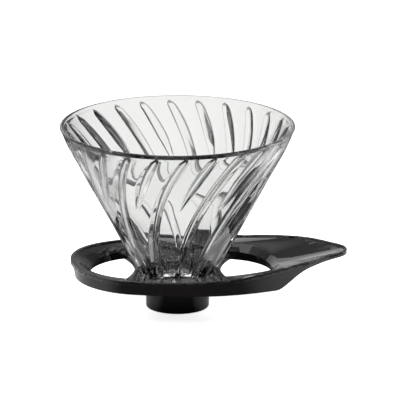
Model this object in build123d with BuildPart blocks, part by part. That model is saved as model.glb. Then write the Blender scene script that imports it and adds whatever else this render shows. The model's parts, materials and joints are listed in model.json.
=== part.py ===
from build123d import *
import os
from math import acos, atan2, cos, pi, radians, sin, tan

# Pour over dripper: a ribbed glass cone that drops into a moulded base with a handle, held from
# below by a collar that squeezes a silicone packing ring. Millimetres, +Z up. The origin is on
# the cone's axis, in the plane of the collar's lower end, which is what the dripper stands on.
# The handle points along +X.

# ---- fits shared by several pieces ----
loose = 0.30              # gap between pieces that come apart or turn
light = 0.05              # axial gap between the packing ring and the collar's ledge
packing_gap = 0.10        # gap between the packing ring and the boss that it is pressed against

# ---- glass cone ----
rim_top = 92.8            # height of the rim
rim_r = 58.0              # outer radius at the rim
rim_roll = 1.05           # radius of the rolled rim
seat_level = 19.65        # level of the base's hub, where the glass disappears into it
glass_seat_r = 19.9       # outer radius of the glass at that level
rim_turn = 10.8           # depth below the rim at which the outer wall starts to turn upright
rim_flare = 4.74          # how far the rim stands out beyond that wall
inner_seat_r = 13.8       # inner radius at the hub's level, which makes a 60 degree cone
rim_wall = 3.2            # thickness of the wall where the ribs begin
rib_depth = 2.0           # depth below the rim at which the ribs begin
neck_r = 12.0             # outer radius of the neck
outlet_r = 10.2           # radius of the outlet
neck_end = 2.6            # lower end of the neck
shoulder = 12.9           # height of the shoulder above the neck

# ---- spiral ribs ----
rib_pairs = 12            # long ribs, with a short one between each two
rib_phase = 4.5           # angle of the first long rib at the top, degrees
rib_twist = 0.66          # turn of a rib at the top, degrees for each mm of depth
rib_ease = 0.0023         # how the turn slows down, degrees for each square mm
short_depth = 29.8        # how far the short ribs run down

# ---- base ----
hem = 16.3                # underside of the skirt, which rests on a server or a mug
rim_line = [
    (-60, 25.1),
    (-48, 24.3),
    (-38, 23.7),
    (-26, 23.4),
    (-5, 23.6),
    (30, 25.2),
    (44, 26.8),
    (62, 28.7),
    (74, 29.3),
    (92, 28.8),
]
hem_line = [(48, hem), (52.5, hem + 1.6), (58.6, 22.4), (65, 25.6), (74.5, 27.0), (92, 27.1)]
end_x = -14.5             # centre of the round end opposite the handle
end_r = 38.5              # radius of that end
end_turn = 80.0           # how far that end's arc runs before the flank starts, degrees
flank = [(6, 41), (26, 39.2), (44, 33), (62, 23.6), (72, 15.9), (78.8, 9.2)]
tip_x = 83.8              # tip of the handle
bead = 1.7                # width of the raised bead along the edge
bead_rise = 0.6           # height of the bead above the top face
lip_end = 20.6            # level of the top face at the two ends of the opening
lip_side = 22.8           # level of the top face along its sides
crest = 2.2               # width of the slope that breaks that edge
flange = 1.8              # depth of the edge above the skirt
overhang = 1.1            # how far the edge stands out over the skirt
draft = 8.0               # draft of the skirt, degrees
skin = 1.8                # wall thickness of the moulding
well_x = -15.5            # first centre of the opening inside the ring
well_r = 28.1             # radius of its round end there
well_x2 = 21.8            # second centre, towards the handle
well_r2 = 25.2            # radius of its round end there
well_wall = 2.4           # thickness of the wall round the opening
web_top = seat_level
web_t = 2.25              # thickness of the web that carries the hub
window_r = 46.0           # radius of the window's edge next to the hub
hub_wall = 0.9            # wall of the hub at its mouth
hub_bottom = 11.6
boss_end = 6.0            # lower end of the threaded boss
boss_wall = 1.0

# ---- thread and collar ----
lead = 3.0                # the collar drops this much in one turn
thread_h = 1.1            # height of the thread's ridge
thread_root = 1.25        # width of the ridge at its root
thread_crest = 0.75       # width of the ridge at its crest
thread_turns = 1.25
thread_end_gap = 0.5      # plain stretch of the boss below its thread
collar_wall = 0.9         # wall of the collar, which drops into a server's mouth
collar_ledge = 3.0        # height of the ledge under the packing ring
collar_edge = 0.8         # rounding of the collar's lower edge

# ---- values that follow ----
outer_top = rim_top - rim_turn
outer_slope = (rim_r - rim_flare - glass_seat_r) / (outer_top - seat_level)
inner_top_r = rim_r - rim_wall
rib_top = rim_top - rib_depth
short_end = rib_top - short_depth
seat_gap = loose / cos(atan2(outer_slope, 1))
neck_bore_r = neck_r + loose
boss_r = neck_bore_r + boss_wall
boss_crest = boss_r + thread_h
collar_bore = boss_crest + loose
collar_r = collar_bore + collar_wall
collar_crest = boss_r + loose
collar_top = hub_bottom - loose
packing_r = collar_crest - loose
inner_slope = (inner_top_r - inner_seat_r) / (rib_top - seat_level)


def outer_radius(z):
    """Mean outer radius of the cone at a height on its straight stretch."""
    return glass_seat_r + outer_slope * (z - seat_level)


def inner_radius(z):
    """Inner radius of the cone between its ribs."""
    return inner_seat_r + inner_slope * (z - seat_level)


def rib_angle(z):
    """Angle of the first long rib at a height, in degrees."""
    depth = rib_top - z
    return rib_phase - (rib_twist * depth - rib_ease * depth * depth)


def between(profile, share):
    """Value at a share of a rib's run from a list of (share, value), from the top down."""
    for (s0, v0), (s1, v1) in zip(profile, profile[1:]):
        if s0 <= share <= s1:
            return v0 + (v1 - v0) * (share - s0) / (s1 - s0)
    return profile[-1][1]


def spiral(wall, side, top, bottom, steps, rise, half_width):
    """A ridge along a rib's path, its root let into the wall. Side is 1 for a ridge that stands
    inward from the wall and -1 for one that stands outward."""
    with BuildPart() as ridge:
        for i in range(steps):
            z = top - (top - bottom) * i / (steps - 1)
            h = side * between(rise, i / (steps - 1))
            w = between(half_width, i / (steps - 1))
            a = radians(rib_angle(z))
            out = Vector(cos(a), sin(a), 0)
            with BuildSketch(Plane(origin=out * wall(z) + Vector(0, 0, z), x_dir=out, z_dir=(0, 0, 1))):
                crest = [(-0.7 * h, 0.55 * w), (-h, 0), (-0.7 * h, -0.55 * w)]
                Polygon((0.5 * h, -w), (0.5 * h, w), *crest, align=None)
        loft()
    return ridge.part


# ---- glass cone ----
inner_end = seat_level - (inner_seat_r - outlet_r) / inner_slope
with BuildPart() as glass:
    with BuildSketch(Plane.XZ):
        with BuildLine():
            top_out = (rim_r, rim_top - rim_roll)
            top_in = (rim_r - 2 * rim_roll, rim_top - rim_roll)
            Polyline(
                (outlet_r, neck_end),
                (neck_r, neck_end),
                (neck_r, shoulder),
                (outer_radius(shoulder), shoulder),
                (outer_radius(outer_top), outer_top),
            )
            Spline(
                (outer_radius(outer_top), outer_top),
                top_out,
                tangents=[(outer_slope, 1), (0.12, 1)],
            )
            ThreePointArc(top_out, (rim_r - rim_roll, rim_top), top_in)
            Polyline(
                top_in,
                (inner_top_r, rib_top),
                (outlet_r, inner_end),
                (outlet_r, neck_end),
            )
        make_face()
    revolve(axis=Axis.Z)

# ---- ribs on the inner wall, and the flutes behind them on the outside ----
long_rise = [(0, 0.8), (0.08, 1.4), (0.28, 1.9), (0.55, 2.0), (0.83, 1.7), (1, 1.0)]
long_half = [(0, 0.9), (0.08, 1.7), (0.28, 2.1), (0.55, 2.3), (0.83, 2.0), (1, 1.1)]
short_rise = [(0, 0.8), (0.22, 1.4), (0.62, 1.8), (0.83, 1.4), (1, 0.5)]
short_half = [(0, 0.9), (0.22, 1.7), (0.56, 1.9), (0.83, 1.3), (1, 0.4)]
flute_top = rib_top - 2.8
flute_end = seat_level + 3.4
flute_sink = [(0, 0.5), (0.12, 1.1), (0.74, 1.2), (1, 0.5)]
flute_half = [(0, 0.8), (0.12, 2.0), (0.74, 2.2), (1, 1.2)]
short_sink = [(0, 0.5), (0.3, 1.1), (0.67, 1.1), (1, 0.4)]
short_flute_half = [(0, 0.8), (0.3, 2.0), (0.67, 2.0), (1, 0.6)]
long_rib = spiral(inner_radius, 1, rib_top - 0.4, inner_end + 1.4, 9, long_rise, long_half)
short_rib = spiral(inner_radius, 1, rib_top - 0.4, short_end, 6, short_rise, short_half)
flute = spiral(outer_radius, 1, flute_top, flute_end, 9, flute_sink, flute_half)
short_flute = spiral(outer_radius, 1, flute_top, short_end, 6, short_sink, short_flute_half)
with BuildPart() as cone:
    add(glass.part)
    with PolarLocations(0, rib_pairs):
        add(long_rib)
    with PolarLocations(0, rib_pairs, start_angle=180 / rib_pairs):
        add(short_rib)
    with PolarLocations(0, rib_pairs):
        add(flute, mode=Mode.SUBTRACT)
    with PolarLocations(0, rib_pairs, start_angle=180 / rib_pairs):
        add(short_flute, mode=Mode.SUBTRACT)
cone.part.label = "glass_cone"


# ---- base ----
turn = radians(end_turn)
arc_end = (end_x - end_r * cos(turn), end_r * sin(turn))
flank_edge = Edge.make_spline([arc_end, *flank, (tip_x, 0)], tangents=[(sin(turn), cos(turn)), (0, -1)])
flank_steps = 14


def outline(inset):
    """Plan of the base seen from above, drawn in by inset."""
    drawn = []
    for i in range(flank_steps + 1):
        run = flank_edge % (i / flank_steps)
        drawn.append(flank_edge @ (i / flank_steps) + Vector(run.Y, -run.X, 0) * inset)
    with BuildSketch() as plan:
        with BuildLine() as edge:
            CenterArc((end_x, 0), end_r - inset, 180 - end_turn, end_turn)
            Spline(*drawn, tangents=[(sin(turn), cos(turn)), (0, -1)])
            mirror(edge.line, about=Plane.XZ)
        make_face()
    return plan.sketch


rim_curve = Edge.make_spline([(x, 0, z) for x, z in rim_line])


def rim_height(x):
    """Height of the rim over a point along the handle."""
    low, high = 0.0, 1.0
    for i in range(40):
        middle = (low + high) / 2
        if (rim_curve @ middle).X < x:
            low = middle
        else:
            high = middle
    return (rim_curve @ low).Z


def under_rim(drop):
    """Everything below the rim line, lowered by drop."""
    with BuildPart() as block:
        with BuildSketch(Plane.XZ):
            with BuildLine():
                Spline(*[(x, z - drop) for x, z in rim_line])
                Polyline(
                    (rim_line[-1][0], rim_line[-1][1] - drop),
                    (rim_line[-1][0], -hem),
                    (rim_line[0][0], -hem),
                    (rim_line[0][0], rim_line[0][1] - drop),
                )
            make_face()
        extrude(amount=2 * end_r, both=True)
    return block.part


def over_hem():
    """Everything above the underside's line."""
    roof = 2 * hem + rim_line[-1][1]
    with BuildPart() as block:
        with BuildSketch(Plane.XZ):
            with BuildLine():
                Spline(*hem_line, tangents=[(1, 0), (1, 0)])
                Polyline(
                    (hem_line[-1][0], hem_line[-1][1]),
                    (hem_line[-1][0], roof),
                    (rim_line[0][0], roof),
                    (rim_line[0][0], hem),
                    (hem_line[0][0], hem),
                )
            make_face()
        extrude(amount=2 * end_r, both=True)
    return block.part


height = rim_line[-2][1] - hem + 4
skirt_inset = overhang + (rim_line[0][1] - flange - hem) * tan(radians(draft))


def skirt_block(inset):
    """The skirt's drafted block, drawn in by inset on all sides."""
    with BuildPart() as block:
        with BuildSketch(Plane.XY.offset(hem)):
            add(outline(skirt_inset + inset))
        with BuildSketch(Plane.XY.offset(hem + height)):
            add(outline(skirt_inset + inset - height * tan(radians(draft))))
        loft(ruled=True)
    return block.part


def well(grow):
    """Plan of the opening inside the ring, grown by grow."""
    with BuildSketch() as plan:
        with Locations((well_x, 0)):
            Circle(well_r + grow)
        with Locations((well_x2, 0)):
            Circle(well_r2 + grow)
        make_hull()
    return plan.sketch


def well_point(share, grow, drop):
    """Point beside the opening's edge, from its round end (0) to the handle's side (1). Its level
    is the lip's, which sinks towards both ends, lowered by drop."""
    lean = acos((well_r - well_r2) / (well_x2 - well_x))
    first = (pi - lean) * well_r
    straight = (well_x2 - well_x) * sin(lean)
    run = share * (first + straight + lean * well_r2)
    if run < first:
        along, a, r = 0, pi - run / well_r, well_r
    elif run < first + straight:
        along, a, r = (run - first) / straight, lean, well_r
    else:
        along, a, r = 1, lean - (run - first - straight) / well_r2, well_r2
    r = r + (well_r2 - well_r) * along if along < 1 else r
    x = well_x + (well_x2 - well_x) * along + (r + grow) * cos(a)
    y = (r + grow) * sin(a)
    return (x, y, lip_end + (lip_side - lip_end) * sin(a) - drop)


steps = 30


def top_face():
    """One half of the sunk top face: a ruled sheet from the foot of the bead, which rises with
    the handle, down to the lip of the opening."""
    outer = []
    inner = []
    for i in range(steps + 1):
        # walk round the half outline from the round end to the handle's tip
        share = i / steps
        if share <= end_share:
            a = pi - radians(end_turn) * share / end_share
            x = end_x + (end_r - bead) * cos(a)
            y = (end_r - bead) * sin(a)
        else:
            t = (share - end_share) / (1 - end_share)
            run = flank_edge % t
            spot = flank_edge @ t + Vector(run.Y, -run.X, 0) * bead
            x = spot.X
            y = spot.Y
        outer.append((x, y, rim_height(x) - bead_rise))
        inner.append(well_point(share, -1, 0.1))
    return Face.make_surface_from_curves(Edge.make_spline(outer), Edge.make_spline(inner))


def crest_face():
    """One half of the slope that breaks the top face's edge, at 45 degrees round the opening."""
    reach = 2 * crest
    upper = [well_point(i / steps, reach, crest - reach) for i in range(steps + 1)]
    lower = [well_point(i / steps, -1, crest + 1) for i in range(steps + 1)]
    return Face.make_surface_from_curves(Edge.make_spline(upper), Edge.make_spline(lower))


end_share = 0.3
sheet = top_face()
slope = crest_face()
# raised edge, then the skirt's wall under it
with BuildPart() as edge_plate:
    with BuildSketch(Plane.XY.offset(hem)):
        add(outline(0))
    extrude(amount=height)
    add(under_rim(0), mode=Mode.INTERSECT)
    add(under_rim(flange), mode=Mode.SUBTRACT)
with BuildPart() as skirt:
    add(skirt_block(0))
    add(under_rim(flange), mode=Mode.INTERSECT)
    add(over_hem(), mode=Mode.INTERSECT)
    add(skirt_block(skin), mode=Mode.SUBTRACT)

hub_r = glass_seat_r + seat_gap + hub_wall
with BuildPart() as base:
    add(edge_plate.part)
    add(skirt.part)
    # the sunk top face, and the wall round the opening
    for half in (sheet, sheet.mirror(Plane.XZ)):
        add(Solid.extrude(half, Vector(0, 0, -skin)))
    with BuildSketch(Plane.XY.offset(hem)):
        add(well(well_wall))
        add(well(-0.8), mode=Mode.SUBTRACT)
    extrude(amount=lip_side - hem)
    for half in (sheet, sheet.mirror(Plane.XZ), slope, slope.mirror(Plane.XZ)):
        add(Solid.extrude(half, Vector(0, 0, height)), mode=Mode.SUBTRACT)
    with BuildSketch(Plane.XY.offset(hem - 2)):
        add(well(0))
    extrude(amount=height + 4, mode=Mode.SUBTRACT)
    # web with a window on each side
    with BuildSketch(Plane.XY.offset(web_top - web_t)):
        add(well(skin / 2))
        with Locations((hub_r + window_r, 0), (-hub_r - window_r, 0)):
            Circle(window_r, mode=Mode.SUBTRACT)
    extrude(amount=web_t)
    # hub: a cup for the foot of the cone, with a threaded boss under it
    with BuildSketch(Plane.XZ):
        with BuildLine():
            Polyline(
                (0, web_top),
                (hub_r, web_top),
                (hub_r, web_top - web_t),
                (outer_radius(hub_bottom) + seat_gap + skin, hub_bottom),
                (boss_r, hub_bottom),
                (boss_r, boss_end),
                (0, boss_end),
                (0, web_top),
            )
        make_face()
    revolve(axis=Axis.Z)
    seat_floor = shoulder - loose
    with BuildSketch(Plane.XZ):
        with BuildLine():
            Polyline(
                (0, web_top + loose),
                (outer_radius(web_top + loose) + seat_gap, web_top + loose),
                (outer_radius(seat_floor) + seat_gap, seat_floor),
                (neck_bore_r, seat_floor),
                (neck_bore_r, boss_end - loose),
                (0, boss_end - loose),
                (0, web_top + loose),
            )
        make_face()
    revolve(axis=Axis.Z, mode=Mode.SUBTRACT)


# ---- threads ----
def ridge(radius, start, inward):
    """A helical ridge whose root is let into a wall of that radius."""
    sink = 0.2
    side = -1 if inward else 1
    with BuildPart() as thread:
        with BuildLine() as path:
            Helix(pitch=lead, height=lead * thread_turns, radius=radius)
        slope = (thread_root - thread_crest) / 2 / thread_h
        root = thread_root / 2 + slope * sink
        with BuildSketch(Plane.XZ):
            with BuildLine():
                Polyline(
                    (radius - side * sink, -root),
                    (radius + side * thread_h, -thread_crest / 2),
                    (radius + side * thread_h, thread_crest / 2),
                    (radius - side * sink, root),
                    (radius - side * sink, -root),
                )
            make_face()
        sweep(path=path.wire(), is_frenet=True)
    return thread.part.moved(Location((0, 0, start)))


boss_thread_start = boss_end + thread_end_gap + thread_root / 2
collar_thread_start = boss_thread_start - lead / 2
with BuildPart() as base_threaded:
    add(base.part)
    add(ridge(boss_r, boss_thread_start, inward=False), clean=False)
base_threaded.part.label = "base"

# ---- collar ----
with BuildPart() as collar:
    with BuildSketch(Plane.XZ):
        with BuildLine():
            Polyline(
                (neck_bore_r, 0),
                (collar_r, 0),
                (collar_r, collar_top),
                (collar_bore, collar_top),
                (collar_bore, collar_ledge),
                (neck_bore_r, collar_ledge),
                (neck_bore_r, 0),
            )
        make_face()
    revolve(axis=Axis.Z)
    lower_edge = collar.edges().filter_by(GeomType.CIRCLE).group_by(Axis.Z)[0].sort_by(SortBy.RADIUS)[-1]
    fillet(lower_edge, collar_edge)
    add(ridge(collar_bore, collar_thread_start, inward=True), clean=False)
collar.part.label = "collar"

# ---- silicone packing ring ----
with BuildPart() as packing:
    with BuildSketch(Plane.XY.offset(collar_ledge + light)):
        Circle(packing_r)
        Circle(neck_bore_r, mode=Mode.SUBTRACT)
    extrude(amount=boss_end - packing_gap - collar_ledge - light)
packing.part.label = "packing_ring"

os.makedirs("parts", exist_ok=True)
for piece in (cone, base_threaded, collar, packing):
    export_step(piece.part, "parts/" + piece.part.label + ".step")
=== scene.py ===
# %% [markdown]
# # A pour over dripper in ribbed glass and black plastic
# The real object has four pieces. A pressed glass cone drops into a moulded base, and a screw
# collar under the base squeezes a silicone ring around the cone's neck. This lesson loads the
# measured solids as a fixed frame, makes the glass anew with a smooth spiral wall, gives the
# plastic pieces clean normals and real finishes, and lights them as in a small studio.

# %% Load the measured frame
import json
import math

import bpy
import numpy as np
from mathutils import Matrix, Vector

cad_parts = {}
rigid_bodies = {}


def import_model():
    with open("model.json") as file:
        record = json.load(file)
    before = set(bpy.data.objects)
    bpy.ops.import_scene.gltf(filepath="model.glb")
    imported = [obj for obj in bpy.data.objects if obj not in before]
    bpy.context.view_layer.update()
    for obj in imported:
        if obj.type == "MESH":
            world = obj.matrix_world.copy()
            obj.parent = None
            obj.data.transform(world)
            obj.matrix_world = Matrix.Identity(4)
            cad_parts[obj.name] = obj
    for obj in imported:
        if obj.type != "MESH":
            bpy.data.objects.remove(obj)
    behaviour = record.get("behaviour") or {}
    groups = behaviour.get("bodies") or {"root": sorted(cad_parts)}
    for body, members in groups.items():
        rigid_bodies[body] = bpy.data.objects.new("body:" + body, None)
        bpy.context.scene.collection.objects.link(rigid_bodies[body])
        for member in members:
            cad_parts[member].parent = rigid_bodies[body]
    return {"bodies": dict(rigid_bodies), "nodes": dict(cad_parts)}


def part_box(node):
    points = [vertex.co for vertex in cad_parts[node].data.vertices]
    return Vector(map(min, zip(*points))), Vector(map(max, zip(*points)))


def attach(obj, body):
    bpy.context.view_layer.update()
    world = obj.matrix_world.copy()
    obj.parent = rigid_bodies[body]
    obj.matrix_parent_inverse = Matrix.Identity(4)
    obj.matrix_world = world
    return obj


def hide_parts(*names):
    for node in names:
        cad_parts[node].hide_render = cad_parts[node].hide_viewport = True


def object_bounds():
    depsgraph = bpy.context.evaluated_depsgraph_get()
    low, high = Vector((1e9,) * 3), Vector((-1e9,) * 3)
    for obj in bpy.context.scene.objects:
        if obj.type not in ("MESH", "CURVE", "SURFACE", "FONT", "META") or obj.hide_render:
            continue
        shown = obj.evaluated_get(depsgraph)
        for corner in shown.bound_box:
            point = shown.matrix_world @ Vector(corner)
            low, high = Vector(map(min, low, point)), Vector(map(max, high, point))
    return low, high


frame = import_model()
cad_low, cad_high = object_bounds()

nodes = frame["nodes"]
print("measured box, mm:", [round(v * 1000, 1) for v in (*cad_low, *cad_high)])

# %% [markdown]
# ## Start from an empty stage
# A new Blender file may hold a cube, a lamp and a camera. They are removed by type, and the
# measured pieces are left alone. The Standard view transform keeps white paper white and black
# plastic black, which suits plain studio light better than a film-like curve. Glass needs many
# bounces, since one look through the cone crosses four surfaces or more.

# %% Clear what isn't ours
ours = set(nodes.values()) | set(frame["bodies"].values())
for leftover in list(bpy.data.objects):
    if leftover not in ours and leftover.type in {"MESH", "LIGHT", "CAMERA"}:
        bpy.data.objects.remove(leftover, do_unlink=True)

scene = bpy.context.scene
scene.view_settings.view_transform = "Standard"
scene.view_settings.look = "None"
glass_bounces = 24
mirror_bounces = 6
scene.cycles.max_bounces = glass_bounces
scene.cycles.transmission_bounces = glass_bounces
scene.cycles.transparent_max_bounces = glass_bounces
scene.cycles.glossy_bounces = mirror_bounces

# %% [markdown]
# ## Helpers for selecting
# An operator acts on all that is selected, so each step first selects exactly one thing.


# %% Select one thing, open it and close it
def select_only(thing):
    """Deselects everything, then makes thing the active, selected object."""
    if bpy.context.object and bpy.context.object.mode != "OBJECT":
        bpy.ops.object.mode_set(mode="OBJECT")
    for other in bpy.context.view_layer.objects:
        other.select_set(False)
    thing.select_set(True)
    bpy.context.view_layer.objects.active = thing


def edit(thing):
    """Opens thing in edit mode with all of its mesh selected."""
    select_only(thing)
    bpy.ops.object.mode_set(mode="EDIT")
    bpy.ops.mesh.select_all(action="SELECT")


def leave_edit():
    """Goes back to object mode."""
    bpy.ops.object.mode_set(mode="OBJECT")


print("helpers ready")


# %% [markdown]
# ## Shared finish: faint handling marks
# No moulded surface is one flat value. Fingers leave soft smudges that make gloss duller in
# patches, and the mould leaves a very slight waviness. Both come from noise in Object
# coordinates, so they stay on the piece when it moves. The group is built once and each
# material sets its own scale and strength.


# %% Small helpers for node trees
def socket(group, name, direction, kind, value=None):
    """Adds a named input or output to a node group."""
    made = group.interface.new_socket(name=name, in_out=direction, socket_type=kind)
    if value is not None:
        made.default_value = value
    return made


def node(tree, kind, x, y, **settings):
    """Adds a node at a place in the tree, with its settings."""
    made = tree.nodes.new(kind)
    made.location = (x, y)
    for key, value in settings.items():
        setattr(made, key, value)
    return made


def fill(made, values):
    """Sets inputs by name."""
    for name, value in values.items():
        made.inputs[name].default_value = value


print("node helpers ready")

# %% Build the handling marks group
marks = bpy.data.node_groups.new("handling marks", "ShaderNodeTree")
socket(marks, "Smudge Scale", "INPUT", "NodeSocketFloat", 40.0)
socket(marks, "Smooth", "INPUT", "NodeSocketFloat", 0.08)
socket(marks, "Dull", "INPUT", "NodeSocketFloat", 0.2)
socket(marks, "Wave Scale", "INPUT", "NodeSocketFloat", 60.0)
socket(marks, "Wave Depth", "INPUT", "NodeSocketFloat", 0.02)
socket(marks, "Roughness", "OUTPUT", "NodeSocketFloat")
socket(marks, "Mask", "OUTPUT", "NodeSocketFloat")
socket(marks, "Normal", "OUTPUT", "NodeSocketVector")
marks_in = node(marks, "NodeGroupInput", -900, 0)
marks_out = node(marks, "NodeGroupOutput", 500, 0)
marks_place = node(marks, "ShaderNodeTexCoord", -900, 300)
marks_smudge = node(marks, "ShaderNodeTexNoise", -600, 300)
marks_smudge.inputs["Detail"].default_value = 4.0
marks_range = node(marks, "ShaderNodeMapRange", -350, 300)
fill(marks_range, {"From Min": 0.35, "From Max": 0.72})
marks_wave = node(marks, "ShaderNodeTexNoise", -600, -100)
marks_wave.inputs["Detail"].default_value = 2.0
marks_bump = node(marks, "ShaderNodeBump", 200, -150)
marks_bump.inputs["Distance"].default_value = 0.001
marks.links.new(marks_place.outputs["Object"], marks_smudge.inputs["Vector"])
marks.links.new(marks_place.outputs["Object"], marks_wave.inputs["Vector"])
marks.links.new(marks_in.outputs["Smudge Scale"], marks_smudge.inputs["Scale"])
marks.links.new(marks_in.outputs["Wave Scale"], marks_wave.inputs["Scale"])
marks.links.new(marks_smudge.outputs["Fac"], marks_range.inputs["Value"])
marks.links.new(marks_in.outputs["Smooth"], marks_range.inputs["To Min"])
marks.links.new(marks_in.outputs["Dull"], marks_range.inputs["To Max"])
marks.links.new(marks_range.outputs["Result"], marks_out.inputs["Roughness"])
marks.links.new(marks_smudge.outputs["Fac"], marks_out.inputs["Mask"])
marks.links.new(marks_in.outputs["Wave Depth"], marks_bump.inputs["Strength"])
marks.links.new(marks_wave.outputs["Fac"], marks_bump.inputs["Height"])
marks.links.new(marks_bump.outputs["Normal"], marks_out.inputs["Normal"])
print("group:", marks.name)


# %% [markdown]
# ## How each material is put together
# Each material here has one Principled shader. The handling marks drive its roughness and its
# normal, and its base colour drifts between two near tones. Values that are the same all over
# are set on the shader itself, where an export can read them.


# %% A material starter
def new_material(name):
    """A material with one Principled shader, and its tree and shader."""
    made = bpy.data.materials.new(name)
    made.use_nodes = True
    tree = made.node_tree
    return made, tree, tree.nodes["Principled BSDF"]


def add_marks(tree, shader, smudge_scale, smooth, dull, wave_scale, wave_depth):
    """Places the handling marks group and joins it to a shader's roughness and normal."""
    group = node(tree, "ShaderNodeGroup", -500, -100, node_tree=marks)
    fill(group, {"Smudge Scale": smudge_scale, "Smooth": smooth, "Dull": dull})
    fill(group, {"Wave Scale": wave_scale, "Wave Depth": wave_depth})
    tree.links.new(group.outputs["Roughness"], shader.inputs["Roughness"])
    tree.links.new(group.outputs["Normal"], shader.inputs["Normal"])
    return group


def two_tones(tree, shader, mask, dark, light):
    """Base colour that drifts between two near tones."""
    mix = node(tree, "ShaderNodeMix", -250, 250, data_type="RGBA")
    mix.inputs["A"].default_value = (*dark, 1)
    mix.inputs["B"].default_value = (*light, 1)
    tree.links.new(mask, mix.inputs["Factor"])
    tree.links.new(mix.outputs["Result"], shader.inputs["Base Color"])
    return mix.outputs["Result"]


print("material helpers ready")

# %% [markdown]
# ## Glass
# Heat resistant glass is nearly colourless, with an index of refraction of 1.47. Metallic and
# transmission are plain numbers on the shader. Pressed glass isn't optically flat, so a very
# slight waviness bends what is seen through it, and a few patches are a touch less polished.

# %% Make the glass material
glass_finish, tree, shader = new_material("clear pressed glass")
fill(shader, {"Metallic": 0.0, "Transmission Weight": 1.0, "IOR": 1.47})
group = add_marks(tree, shader, smudge_scale=30.0, smooth=0.0, dull=0.02, wave_scale=70.0, wave_depth=0.02)
clear = two_tones(tree, shader, group.outputs["Mask"], (0.95, 0.96, 0.955), (0.985, 0.988, 0.985))
print("made", glass_finish.name)

# %% [markdown]
# Light that crosses glass at a steep angle travels a long way in it and is bent aside, so edges
# look dark. Two masks paint that shade into the glass's colour. Layer Weight finds the places seen
# edge-on, and an attribute of the mesh, written further down, holds 1 on the flanks of the ribs and
# on top of the rim, where painted dark lines stand for that shade. A point attribute was chosen
# because it follows the spiral exactly.

# %% Paint shade into the glass at its edges
facing = node(tree, "ShaderNodeLayerWeight", -600, 500)
fill(facing, {"Blend": 0.5})
# Painted shade: where the glass is seen edge-on, its colour is mixed towards near black.
grazing_shade_amount = node(tree, "ShaderNodeMapRange", -400, 500, interpolation_type="SMOOTHSTEP")
fill(grazing_shade_amount, {"From Min": 0.30, "From Max": 0.75, "To Max": 0.55})
grazing_shade_mix = node(tree, "ShaderNodeMix", -100, 350, data_type="RGBA")
grazing_shade_mix.inputs["B"].default_value = (0.035, 0.036, 0.036, 1)
tree.links.new(facing.outputs["Facing"], grazing_shade_amount.inputs["Value"])
tree.links.new(grazing_shade_amount.outputs["Result"], grazing_shade_mix.inputs["Factor"])
tree.links.new(clear, grazing_shade_mix.inputs["A"])
# Painted shade: on the rib flanks and the rim top, the attribute mixes the colour towards dark grey.
flank_shade = node(tree, "ShaderNodeAttribute", -400, 800, attribute_name="rib_flank_shade")
flank_shade_mix = node(tree, "ShaderNodeMix", 100, 350, data_type="RGBA")
flank_shade_mix.inputs["B"].default_value = (0.07, 0.071, 0.07, 1)
tree.links.new(flank_shade.outputs["Fac"], flank_shade_mix.inputs["Factor"])
tree.links.new(grazing_shade_mix.outputs["Result"], flank_shade_mix.inputs["A"])
tree.links.new(flank_shade_mix.outputs["Result"], shader.inputs["Base Color"])
print("edges of the glass:", len(tree.nodes), "nodes")

# %% [markdown]
# ## Black gloss plastic
# The base is injection moulded in a black that is a little brown, and polished. The colour
# drifts slightly and handling dulls the gloss in patches. The collar is a more neutral black
# and a little less polished, as a part that is gripped often.

# %% Make the black plastics
black_finish, tree, shader = new_material("black moulded plastic")
fill(shader, {"IOR": 1.5})
group = add_marks(tree, shader, smudge_scale=55.0, smooth=0.02, dull=0.06, wave_scale=30.0, wave_depth=0.006)
two_tones(tree, shader, group.outputs["Mask"], (0.004, 0.0035, 0.0035), (0.008, 0.007, 0.0065))

collar_finish, tree, shader = new_material("black collar plastic")
fill(shader, {"IOR": 1.5})
group = add_marks(tree, shader, smudge_scale=80.0, smooth=0.03, dull=0.08, wave_scale=40.0, wave_depth=0.006)
two_tones(tree, shader, group.outputs["Mask"], (0.004, 0.004, 0.004), (0.007, 0.007, 0.0075))
print("made", black_finish.name, "and", collar_finish.name)

# %% [markdown]
# ## Silicone
# The packing ring is soft and milky. Subsurface scattering lets a little light into it, and a
# fine grain keeps it matt.

# %% Make the silicone
silicone_finish, tree, shader = new_material("milky silicone")
fill(shader, {"IOR": 1.41, "Subsurface Weight": 0.3, "Subsurface Scale": 0.002})
group = add_marks(tree, shader, smudge_scale=120.0, smooth=0.45, dull=0.65, wave_scale=400.0, wave_depth=0.08)
two_tones(tree, shader, group.outputs["Mask"], (0.50, 0.50, 0.48), (0.60, 0.60, 0.58))
print("made", silicone_finish.name)

# %% [markdown]
# ## The glass cone
# On the real object the cone is one pressed piece: a rolled rim, a wall at about 60 degrees, a
# shoulder and a straight neck. It could be spun from a profile, or built up ring by ring like a
# pot on a wheel. Ring by ring is used here, because each ring keeps its place in the order and
# the spiral can be pressed in afterwards. First come the sizes: the rim and the neck's foot
# are read from the frame, and the wall between them has named sizes of its own.

# %% Read the cone's sizes
low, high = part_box("glass_cone")
mm = 0.001
rim_top = high.z
rim_r = high.x
neck_end = low.z
roll = 1.05 * mm
seat_level = 19.65 * mm
seat_outer_r = 19.9 * mm
outer_slope = 0.535
bend_start = 81.0 * mm
rib_top = rim_top - 2.0 * mm
columns_per_rib = 20
rib_count = 24
columns = columns_per_rib * rib_count


def outer_wall(z):
    """Mean outer radius, with the wall turning upright under the rim."""
    straight = seat_outer_r + outer_slope * (z - seat_level)
    bend = np.clip((z - bend_start) / (rim_top - bend_start), 0, 1)
    at_bend = seat_outer_r + outer_slope * (bend_start - seat_level)
    rise = (rim_top - bend_start) * outer_slope
    short = (at_bend + rise) - rim_r
    return straight - short * bend ** 2.2


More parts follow.
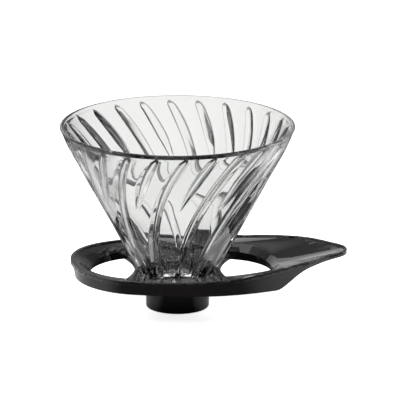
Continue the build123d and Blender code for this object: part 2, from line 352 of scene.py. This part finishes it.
def inner_wall(z):
    """Inner radius between the ribs: a 60 degree cone, so the wall is thicker lower down."""
    inner_seat_r, inner_top_r, inner_top_level = 13.8, 54.8, 90.8
    inner_slope = (inner_top_r - inner_seat_r) / (inner_top_level - seat_level / mm)
    return inner_seat_r * mm + inner_slope * (z - seat_level)


print("rim radius and height, mm:", round(rim_r * 1000, 2), round(rim_top * 1000, 2))

# %% [markdown]
# The profile runs from the neck's foot up the outside, over the rolled rim, down the inside and
# back through the outlet. The rows stand close together where the rim curls and where the ribs
# begin, and further apart on the long wall.

# %% Draw the profile as radius and height pairs
profile = []
shoulder = 12.9 * mm
neck_r = 12.0 * mm
outlet_r = 10.2 * mm
chamfer = 0.35 * mm
profile += [(outlet_r + chamfer, neck_end), (neck_r - chamfer, neck_end)]
profile += [(neck_r, neck_end + chamfer), (neck_r, shoulder - 3 * mm)]
profile += [(neck_r, shoulder - 0.4 * mm), (neck_r + 0.4 * mm, shoulder)]
foot_r = float(outer_wall(shoulder))
profile += [(foot_r - 0.5 * mm, shoulder), (foot_r, shoulder + 0.5 * mm)]
wall_rows = 62
outer_rows = np.linspace(14.5, 90.6, wall_rows)
rib_start_rows = np.arange(90.5, 87.4, -0.3)
inner_rows = np.linspace(86.9, 13.7, wall_rows)
for z in outer_rows:
    profile.append((float(outer_wall(z * mm)), z * mm))
for turn in np.linspace(10, 170, 9):
    angle = math.radians(turn)
    profile.append((rim_r - roll + roll * math.cos(angle), rim_top - roll + roll * math.sin(angle)))
inner_top = float(inner_wall(rib_top))
profile += [(rim_r - 2 * roll - 0.25 * mm, rim_top - roll - 0.5 * mm)]
profile += [(inner_top + 0.25 * mm, rib_top + 0.3 * mm)]
for z in [*rib_start_rows, *inner_rows]:
    profile.append((float(inner_wall(z * mm)), z * mm))
profile += [(outlet_r, 13.0 * mm), (outlet_r, 8.0 * mm), (outlet_r, neck_end + chamfer)]
print("rows:", len(profile), "faces:", len(profile) * columns)

# %% [markdown]
# The first ring is a plain circle. Each extrude adds a ring, which is moved up or down and then
# scaled about the axis. At the end the last ring is bridged to the first, and the wall is closed.

# %% Throw the plain cone, ring by ring
first_r, first_z = profile[0]
bpy.ops.object.select_all(action="DESELECT")
bpy.ops.mesh.primitive_circle_add(vertices=columns, radius=first_r, location=(0, 0, first_z))
cone = bpy.context.object
cone.name = "ribbed_glass_cone"
bpy.ops.object.transform_apply(location=True, rotation=True, scale=True)
edit(cone)
was_r, was_z = first_r, first_z
for ring_r, ring_z in profile[1:]:
    bpy.ops.mesh.extrude_region_move(TRANSFORM_OT_translate={"value": (0, 0, ring_z - was_z)})
    ratio = ring_r / was_r
    bpy.ops.transform.resize(value=(ratio, ratio, 1), center_override=(0, 0, 0))
    was_r, was_z = ring_r, ring_z
bpy.ops.mesh.select_all(action="DESELECT")
bpy.ops.mesh.select_mode(type="EDGE")
bpy.ops.mesh.select_non_manifold(extend=False)
bpy.ops.mesh.bridge_edge_loops()
bpy.ops.mesh.select_all(action="SELECT")
bpy.ops.mesh.normals_make_consistent(inside=False)
leave_edit()
print("plain cone:", len(cone.data.vertices), "vertices,", len(cone.data.polygons), "faces")

# %% [markdown]
# ## Press in the spiral
# In the press, a cutter with curved ridges shapes the wall: each rib stands proud inside, and
# the outside sinks a little behind it. No single operator bends a wall like that, so the
# vertices are moved in code. Every column of the mesh first follows the ribs round the cone,
# and the columns crowd together near each rib so that its edges stay crisp. Then each point
# moves in or out by the rib's height at that place. Every second rib is short. Sizes that
# change along the height stand in short tables of heights and values, in millimetres.


# %% Describe the ribs
def rib_turn(z):
    """How far the ribs have turned at a height, in radians, slower the deeper they are."""
    start, first_turn, slowing = 90.8, 0.66, 0.0023
    depth = np.clip(start - z / mm, -2.0, 81.0)
    return np.radians(first_turn * depth - slowing * depth ** 2)


def along(z, heights, values):
    """A value at a height, from a short table that runs upwards."""
    return np.interp(z / mm, heights, values)


def arch(z, top, reach):
    """1 well below top, and round like an arch over the last stretch of reach mm."""
    share = np.clip((top - z / mm) / reach, 0, 1)
    return np.sqrt(1 - (1 - share) ** 2)


def taper(z, end, reach):
    """1 well above end, tapering to nothing there over reach mm."""
    return np.clip((z / mm - end) / reach, 0, 1)


rib_phase = math.radians(4.5)
rib_top_arch = (90.6, 2.6)
long_foot = (13.8, 3.0)
pitch = 2 * math.pi / rib_count
wall_foot = 13.6 * mm
wall_top = 91.0 * mm
short_end, short_taper = 60.5, 14.0
half_widths = ([13, 24, 46, 62, 70, 76, 82, 88, 91], [0.9, 1.5, 2.0, 2.1, 2.4, 2.6, 2.6, 2.2, 1.6])
rises = ([13, 20, 30, 46, 68, 84, 90], [0.6, 1.4, 2.0, 2.4, 2.5, 2.3, 1.8])
sinks = ([20, 26, 46, 80, 90], [0.0, 1.0, 1.3, 1.3, 0.5])
swells = ([20, 30, 60, 80, 91], [0.0, 0.30, 0.40, 0.40, 0.0])
print("rib turn from rim to neck, degrees:", round(math.degrees(float(rib_turn(11.5 * mm))), 1))

# %% Read where each point of the wall is
places = np.empty(len(cone.data.vertices) * 3)
cone.data.vertices.foreach_get("co", places)
places = places.reshape(-1, 3)
x, y, z = places.T
r = np.hypot(x, y)
theta = np.arctan2(y, x)
column = np.rint(theta / pitch * columns_per_rib).astype(int) % columns
rib = column // columns_per_rib
step = column % columns_per_rib
inside = r < (inner_wall(z) + outer_wall(z)) / 2
wall = (z > wall_foot) & (z < wall_top)
half_width = along(z, *half_widths) * mm
rise = along(z, *rises) * mm
sink = along(z, *sinks) * mm
swell = along(z, *swells) * mm


def rib_strength(number):
    """How much of a rib is there at each point: 0 beyond its ends, 1 along its length."""
    is_short = (number % 2) == 1
    ends = np.where(is_short, taper(z, short_end, short_taper) ** 0.8, taper(z, *long_foot))
    return arch(z, *rib_top_arch) * ends


print("points inside:", int(inside.sum()), "on the wall:", int(wall.sum()))

# %% [markdown]
# Each rib owns a few columns, placed by a sine so that they crowd at its edges, and the panel
# between two ribs gets the rest. Where a rib ends, its columns close up to a thin strip.

# %% Share out the columns between ribs and panels
this_full = rib_strength(rib)
next_full = rib_strength(rib + 1)
least_width = 0.15
this_width = half_width * (least_width + (1 - least_width) * this_full)
next_width = half_width * (least_width + (1 - least_width) * next_full)
arc = pitch * r
edge_steps = 5
panel_steps = columns_per_rib - 2 * edge_steps
back_step = columns_per_rib - step
from_rib = this_width * np.sin(math.pi / 2 * np.minimum(step, edge_steps) / edge_steps)
to_next = arc - next_width * np.sin(math.pi / 2 * np.minimum(back_step, edge_steps) / edge_steps)
panel_t = (1 - np.cos(math.pi * np.clip((step - edge_steps) / panel_steps, 0, 1))) / 2
over_panel = this_width + (arc - this_width - next_width) * panel_t
gap = np.where(back_step <= edge_steps, to_next, over_panel)
gap = np.where(step <= edge_steps, from_rib, gap)
print("columns on a rib:", 2 * edge_steps + 1, "on a panel:", panel_steps - 1)

# %% [markdown]
# A rib is half round in section. Behind it the outside sinks into a shallow V, and between the
# flutes it swells into a low crown. The same loop notes the rib's flank and the curve over its
# upper end, where dark lines of painted shade go on the glass.

# %% Raise the ribs, and sink and swell the outside
shift = np.zeros(len(z))
flank_start, flank_fade = 0.70, 0.2
groove_reach = 1.1
rib_top_foot = 87.6 * mm
flank_shade_mask = np.zeros(len(z))
for full, wide, away in ((this_full, this_width, gap), (next_full, next_width, arc - gap)):
    across = np.clip(away / wide, 0, 1)
    shift -= np.where(inside & wall, rise * full * (1 - across ** 2) ** 0.5, 0)
    groove = np.clip(away / (wide * groove_reach), 0, 1)
    shift -= np.where(~inside & wall, sink * full * (1 - groove) ** 1.1, 0)
    # The mask marks where painted shade darkens the glass: near each rib's edge and over its upper end.
    near_edge = np.clip((across - flank_start) / flank_fade, 0, 1) * (away < wide * 1.02)
    rib_top_here = (z > rib_top_foot) * (full > 0.02) * (across < 0.98)
    near_top = rib_top_here * np.clip((0.85 - full) / 0.25, 0, 1)
    flank_shade = np.maximum(near_edge * np.clip(full * 1.6, 0, 1), near_top)
    flank_shade_mask = np.maximum(flank_shade_mask, np.where(inside & wall, flank_shade, 0))
narrow = gap / arc
broad = ((rib % 2) + narrow) / 2
upper = taper(z, short_end, short_taper)
crown = upper * 4 * narrow * (1 - narrow) + (1 - upper) * 4 * broad * (1 - broad)
shift += np.where(~inside & wall, swell * crown, 0)
print("highest rib, mm:", round(float(-shift.min()) * 1000, 2))

# %% Write the points and the painted shade mask back
new_r = r + shift
new_theta = rib * pitch + gap / r + rib_phase - rib_turn(z)
places[:, 0] = new_r * np.cos(new_theta)
places[:, 1] = new_r * np.sin(new_theta)
cone.data.vertices.foreach_set("co", places.reshape(-1))
# The top of the rim gets a painted dark line as well.
rim_shade_line = 0.75 * np.clip((z - rim_top + 0.30 * mm) / (0.15 * mm), 0, 1)
flank_shade_mask = np.maximum(flank_shade_mask, rim_shade_line)
flank_layer = cone.data.attributes.new("rib_flank_shade", "FLOAT", "POINT")
flank_layer.data.foreach_set("value", flank_shade_mask.astype(np.float32))
cone.data.update()
print("largest radius, mm:", round(float(new_r.max()) * 1000, 2))

# %% [markdown]
# Pressed glass has no hard edges, so the whole cone is shaded smooth. It takes the measured
# cone's place and rides on its body.

# %% Finish the cone
select_only(cone)
bpy.ops.object.shade_smooth()
cone.data.materials.clear()
cone.data.materials.append(glass_finish)
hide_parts("glass_cone")
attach(cone, "cone")
print("cone faces:", len(cone.data.polygons))

# %% [markdown]
# ## The plastic pieces
# Their measured shapes are right, but a measured solid arrives as loose triangles with a hard
# edge round each one. They could be modelled again, but a copy keeps every size. It is merged
# so that the faces share their points, and shaded smooth wherever neighbouring faces meet at a
# shallow angle, so real edges stay sharp. Long thin triangles would bend the reflections in
# gloss, so the normals are then weighted by the area of the faces.


# %% A helper for smooth copies
def smooth_copy(node_name, name, finish, body, angle=30):
    """Copies a measured piece, cleans it, finishes it and puts it on its body."""
    source = nodes[node_name]
    copy = bpy.data.objects.new(name, source.data.copy())
    scene.collection.objects.link(copy)
    same_place = 1e-6
    edit(copy)
    bpy.ops.mesh.remove_doubles(threshold=same_place)
    bpy.ops.mesh.dissolve_degenerate(threshold=same_place)
    leave_edit()
    select_only(copy)
    bpy.ops.object.shade_smooth_by_angle(angle=math.radians(angle))
    weigh = copy.modifiers.new("even normals", "WEIGHTED_NORMAL")
    weigh.mode = "FACE_AREA_WITH_ANGLE"
    weigh.keep_sharp = True
    bpy.ops.object.modifier_apply(modifier=weigh.name)
    copy.data.materials.clear()
    copy.data.materials.append(finish)
    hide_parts(node_name)
    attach(copy, body)
    print(name, len(copy.data.polygons), "faces")
    return copy


print("copy helper ready")

# %% Make the base, collar and packing ring
smooth_copy("base", "moulded_base", black_finish, "holder", angle=25)
smooth_copy("collar", "screw_collar", collar_finish, "collar")
smooth_copy("packing_ring", "silicone_packing", silicone_finish, "packing")

# %% [markdown]
# ## Floor
# The floor is plain and pale, and large enough that its far edge is never in the picture. In a
# studio the floor would be lit in zones and dark cards would stand around the glass. Here the
# floor's material does that work. It asks which kind of ray has hit it:
#
# - Straight from the camera, it glows, so that the shadow is faint.
# - After a mirror reflection, it shows painted light and shade: dark in front and behind and pale
#   to the sides. So the black skirt and collar show painted reflections, dark in the middle with
#   soft pale ends.
# - After a path through glass, it shows painted shade: its grey changes with the distance from the
#   axis, darker right under the dripper and darker far out.

# %% Helpers for greys
def grey(value, blue=1.0):
    """A grey as a colour, with its blue part scaled."""
    return (value, value, value * blue, 1)


def grey_ramp(ramp_node, first, last, between, blue=1.0):
    """Fills a colour ramp with (place, grey) stops."""
    ramp = ramp_node.color_ramp
    for stop, (place, value) in ((ramp.elements[0], first), (ramp.elements[1], last)):
        stop.position = place
        stop.color = grey(value)
    for place, value in between:
        ramp.elements.new(place).color = grey(value, blue)


print("grey helpers ready")

# %% Lay the floor
floor_width = 16
below_the_collar = 0.0002
bpy.ops.object.select_all(action="DESELECT")
bpy.ops.mesh.primitive_plane_add(size=floor_width, location=(0, 0, 0))
floor = bpy.context.object
floor.name = "floor"
floor.location.z = cad_low.z - below_the_collar
floor_finish, tree, shader = new_material("pale floor")
fill(shader, {"Roughness": 0.9, "Specular IOR Level": 0.0})
ray = node(tree, "ShaderNodeLightPath", -600, 0)
place = node(tree, "ShaderNodeTexCoord", -1300, 0)
print("floor laid")

# %% Paint the floor's light and shade for mirror reflections
compass = node(tree, "ShaderNodeVectorMath", -1100, -300, operation="NORMALIZE")
sideways = node(tree, "ShaderNodeSeparateXYZ", -900, -300)
spread = node(tree, "ShaderNodeMath", -700, -300, operation="ABSOLUTE")
beside = node(tree, "ShaderNodeMapRange", -500, -300, interpolation_type="SMOOTHSTEP")
fill(beside, {"From Min": 0.62, "From Max": 0.92, "To Min": 0.10, "To Max": 0.85})
# Painted reflection: only mirror rays see these greys, not the camera or rays through glass.
mirrored = node(tree, "ShaderNodeMath", -450, 0, operation="SUBTRACT", use_clamp=True)
plain = node(tree, "ShaderNodeMix", -300, 100, data_type="RGBA")
plain.inputs["A"].default_value = grey(0.93)
tree.links.new(place.outputs["Object"], compass.inputs[0])
tree.links.new(compass.outputs["Vector"], sideways.inputs["Vector"])
tree.links.new(sideways.outputs["X"], spread.inputs[0])
tree.links.new(spread.outputs["Value"], beside.inputs["Value"])
tree.links.new(beside.outputs["Result"], plain.inputs["B"])
tree.links.new(ray.outputs["Is Glossy Ray"], mirrored.inputs[0])
tree.links.new(ray.outputs["Is Transmission Ray"], mirrored.inputs[1])
tree.links.new(mirrored.outputs["Value"], plain.inputs["Factor"])
print("mirror greys joined")

# %% Paint the floor's shade as seen through glass
from_axis = node(tree, "ShaderNodeVectorMath", -700, 400, operation="LENGTH")
fade = node(tree, "ShaderNodeValToRGB", -500, 400)
# Painted shade: the grey is darker under the dripper, where its shadow falls, and darker far out.
near_greys = ((0.05, 0.50), (0.10, 0.62), (0.13, 0.72), (0.18, 0.68))
far_greys = ((0.26, 0.68), (0.36, 0.72), (0.55, 0.60), (0.75, 0.40))
grey_ramp(fade, (0.0, 0.42), (1.0, 0.16), near_greys + far_greys, blue=0.99)
through = node(tree, "ShaderNodeMix", -100, 100, data_type="RGBA")
tree.links.new(place.outputs["Object"], from_axis.inputs[0])
tree.links.new(from_axis.outputs["Value"], fade.inputs["Fac"])
tree.links.new(fade.outputs["Color"], through.inputs["B"])
tree.links.new(ray.outputs["Is Transmission Ray"], through.inputs["Factor"])
tree.links.new(plain.outputs["Result"], through.inputs["A"])
tree.links.new(through.outputs["Result"], shader.inputs["Base Color"])
print("greys through glass joined")

# %% Let the floor glow for the camera
glow = 0.75
shader.inputs["Emission Color"].default_value = grey(1)
lift = node(tree, "ShaderNodeMath", -100, -200, operation="MULTIPLY")
lift.inputs[1].default_value = glow
tree.links.new(ray.outputs["Is Camera Ray"], lift.inputs[0])
tree.links.new(lift.outputs["Value"], shader.inputs["Emission Strength"])
floor.data.materials.append(floor_finish)
print("floor finished")

# %% [markdown]
# ## World
# Glass and gloss show only what is around them. The world has a pale band near the horizon, a
# darker one above it and a pale zenith, so that reflections have something to change between.

# %% Light the world
world = bpy.data.worlds.new("studio")
scene.world = world
world.use_nodes = True
tree = world.node_tree
background = tree.nodes["Background"]
direction = node(tree, "ShaderNodeTexCoord", -900, 0)
split = node(tree, "ShaderNodeSeparateXYZ", -700, 0)
sky = node(tree, "ShaderNodeValToRGB", -500, 0)
sky_greys = ((0.12, 0.35), (0.30, 0.45), (0.42, 0.22), (0.62, 0.26), (0.70, 0.75))
grey_ramp(sky, (0.0, 0.03), (0.85, 0.9), sky_greys)
tree.links.new(direction.outputs["Generated"], split.inputs["Vector"])
tree.links.new(split.outputs["Z"], sky.inputs["Fac"])
tree.links.new(sky.outputs["Color"], background.inputs["Color"])
background.inputs["Strength"].default_value = 1.0
print("world lit")

# %% [markdown]
# ## Lights
# A large overhead panel and two side panels light the floor and the white silicone. They would
# leave hard white patches on the ribbed wall, so all three are hidden from mirror rays, and the
# side panels from rays through glass too. A fourth panel behind the dripper does the opposite:
# only mirror rays see it, and it puts the long pale reflections on the black top faces.


# %% Add the soft lights
def soft_light(name, place, aim, width, depth, power):
    """A rectangular light at a place, turned to face its aim."""
    data = bpy.data.lights.new(name, "AREA")
    data.shape = "RECTANGLE"
    data.size = width
    data.size_y = depth
    data.energy = power
    light = bpy.data.objects.new(name, data)
    scene.collection.objects.link(light)
    light.location = place
    light.rotation_euler = (Vector(aim) - Vector(place)).to_track_quat("-Z", "Y").to_euler()
    return light


overhead = soft_light("overhead", (0, 0.2, 1.6), (0, 0, 0), width=2.2, depth=2.2, power=22)
overhead.visible_glossy = False
for name, place in (("left side", (-1.2, -0.5, 0.7)), ("right side", (1.3, -0.2, 0.8))):
    side = soft_light(name, place, (0, 0, 0.04), width=0.5, depth=1.0, power=6)
    side.visible_glossy = False
    side.visible_transmission = False

panel = soft_light("back panel", (-1.5, 2.8, 1.15), (0, 0, 0.05), width=3.2, depth=1.8, power=18)
panel.visible_camera = False
panel.visible_diffuse = False
panel.visible_transmission = False

# %% [markdown]
# ## Camera
# A long lens from far away, a little above the rim, shows the mouth as a flat ellipse. A small
# shift moves the dripper in the picture without turning the camera.

# %% Place the camera
target = Vector((0, 0, 0.060))
elevation = math.radians(15.95)
distance = 2.6
long_lens = 474.552
shift_right, shift_up = 0.056175, -0.027625
eye = target + Vector((0, -math.cos(elevation), math.sin(elevation))) * distance
camera_data = bpy.data.cameras.new("camera")
camera = bpy.data.objects.new("camera", camera_data)
scene.collection.objects.link(camera)
camera.location = eye
camera.rotation_euler = (target - eye).to_track_quat("-Z", "Y").to_euler()
camera_data.sensor_width = 36
camera_data.lens = long_lens
camera_data.shift_x = shift_right
camera_data.shift_y = shift_up
camera_data.clip_end = 60
scene.camera = camera
print("lens, mm:", round(camera_data.lens, 1))
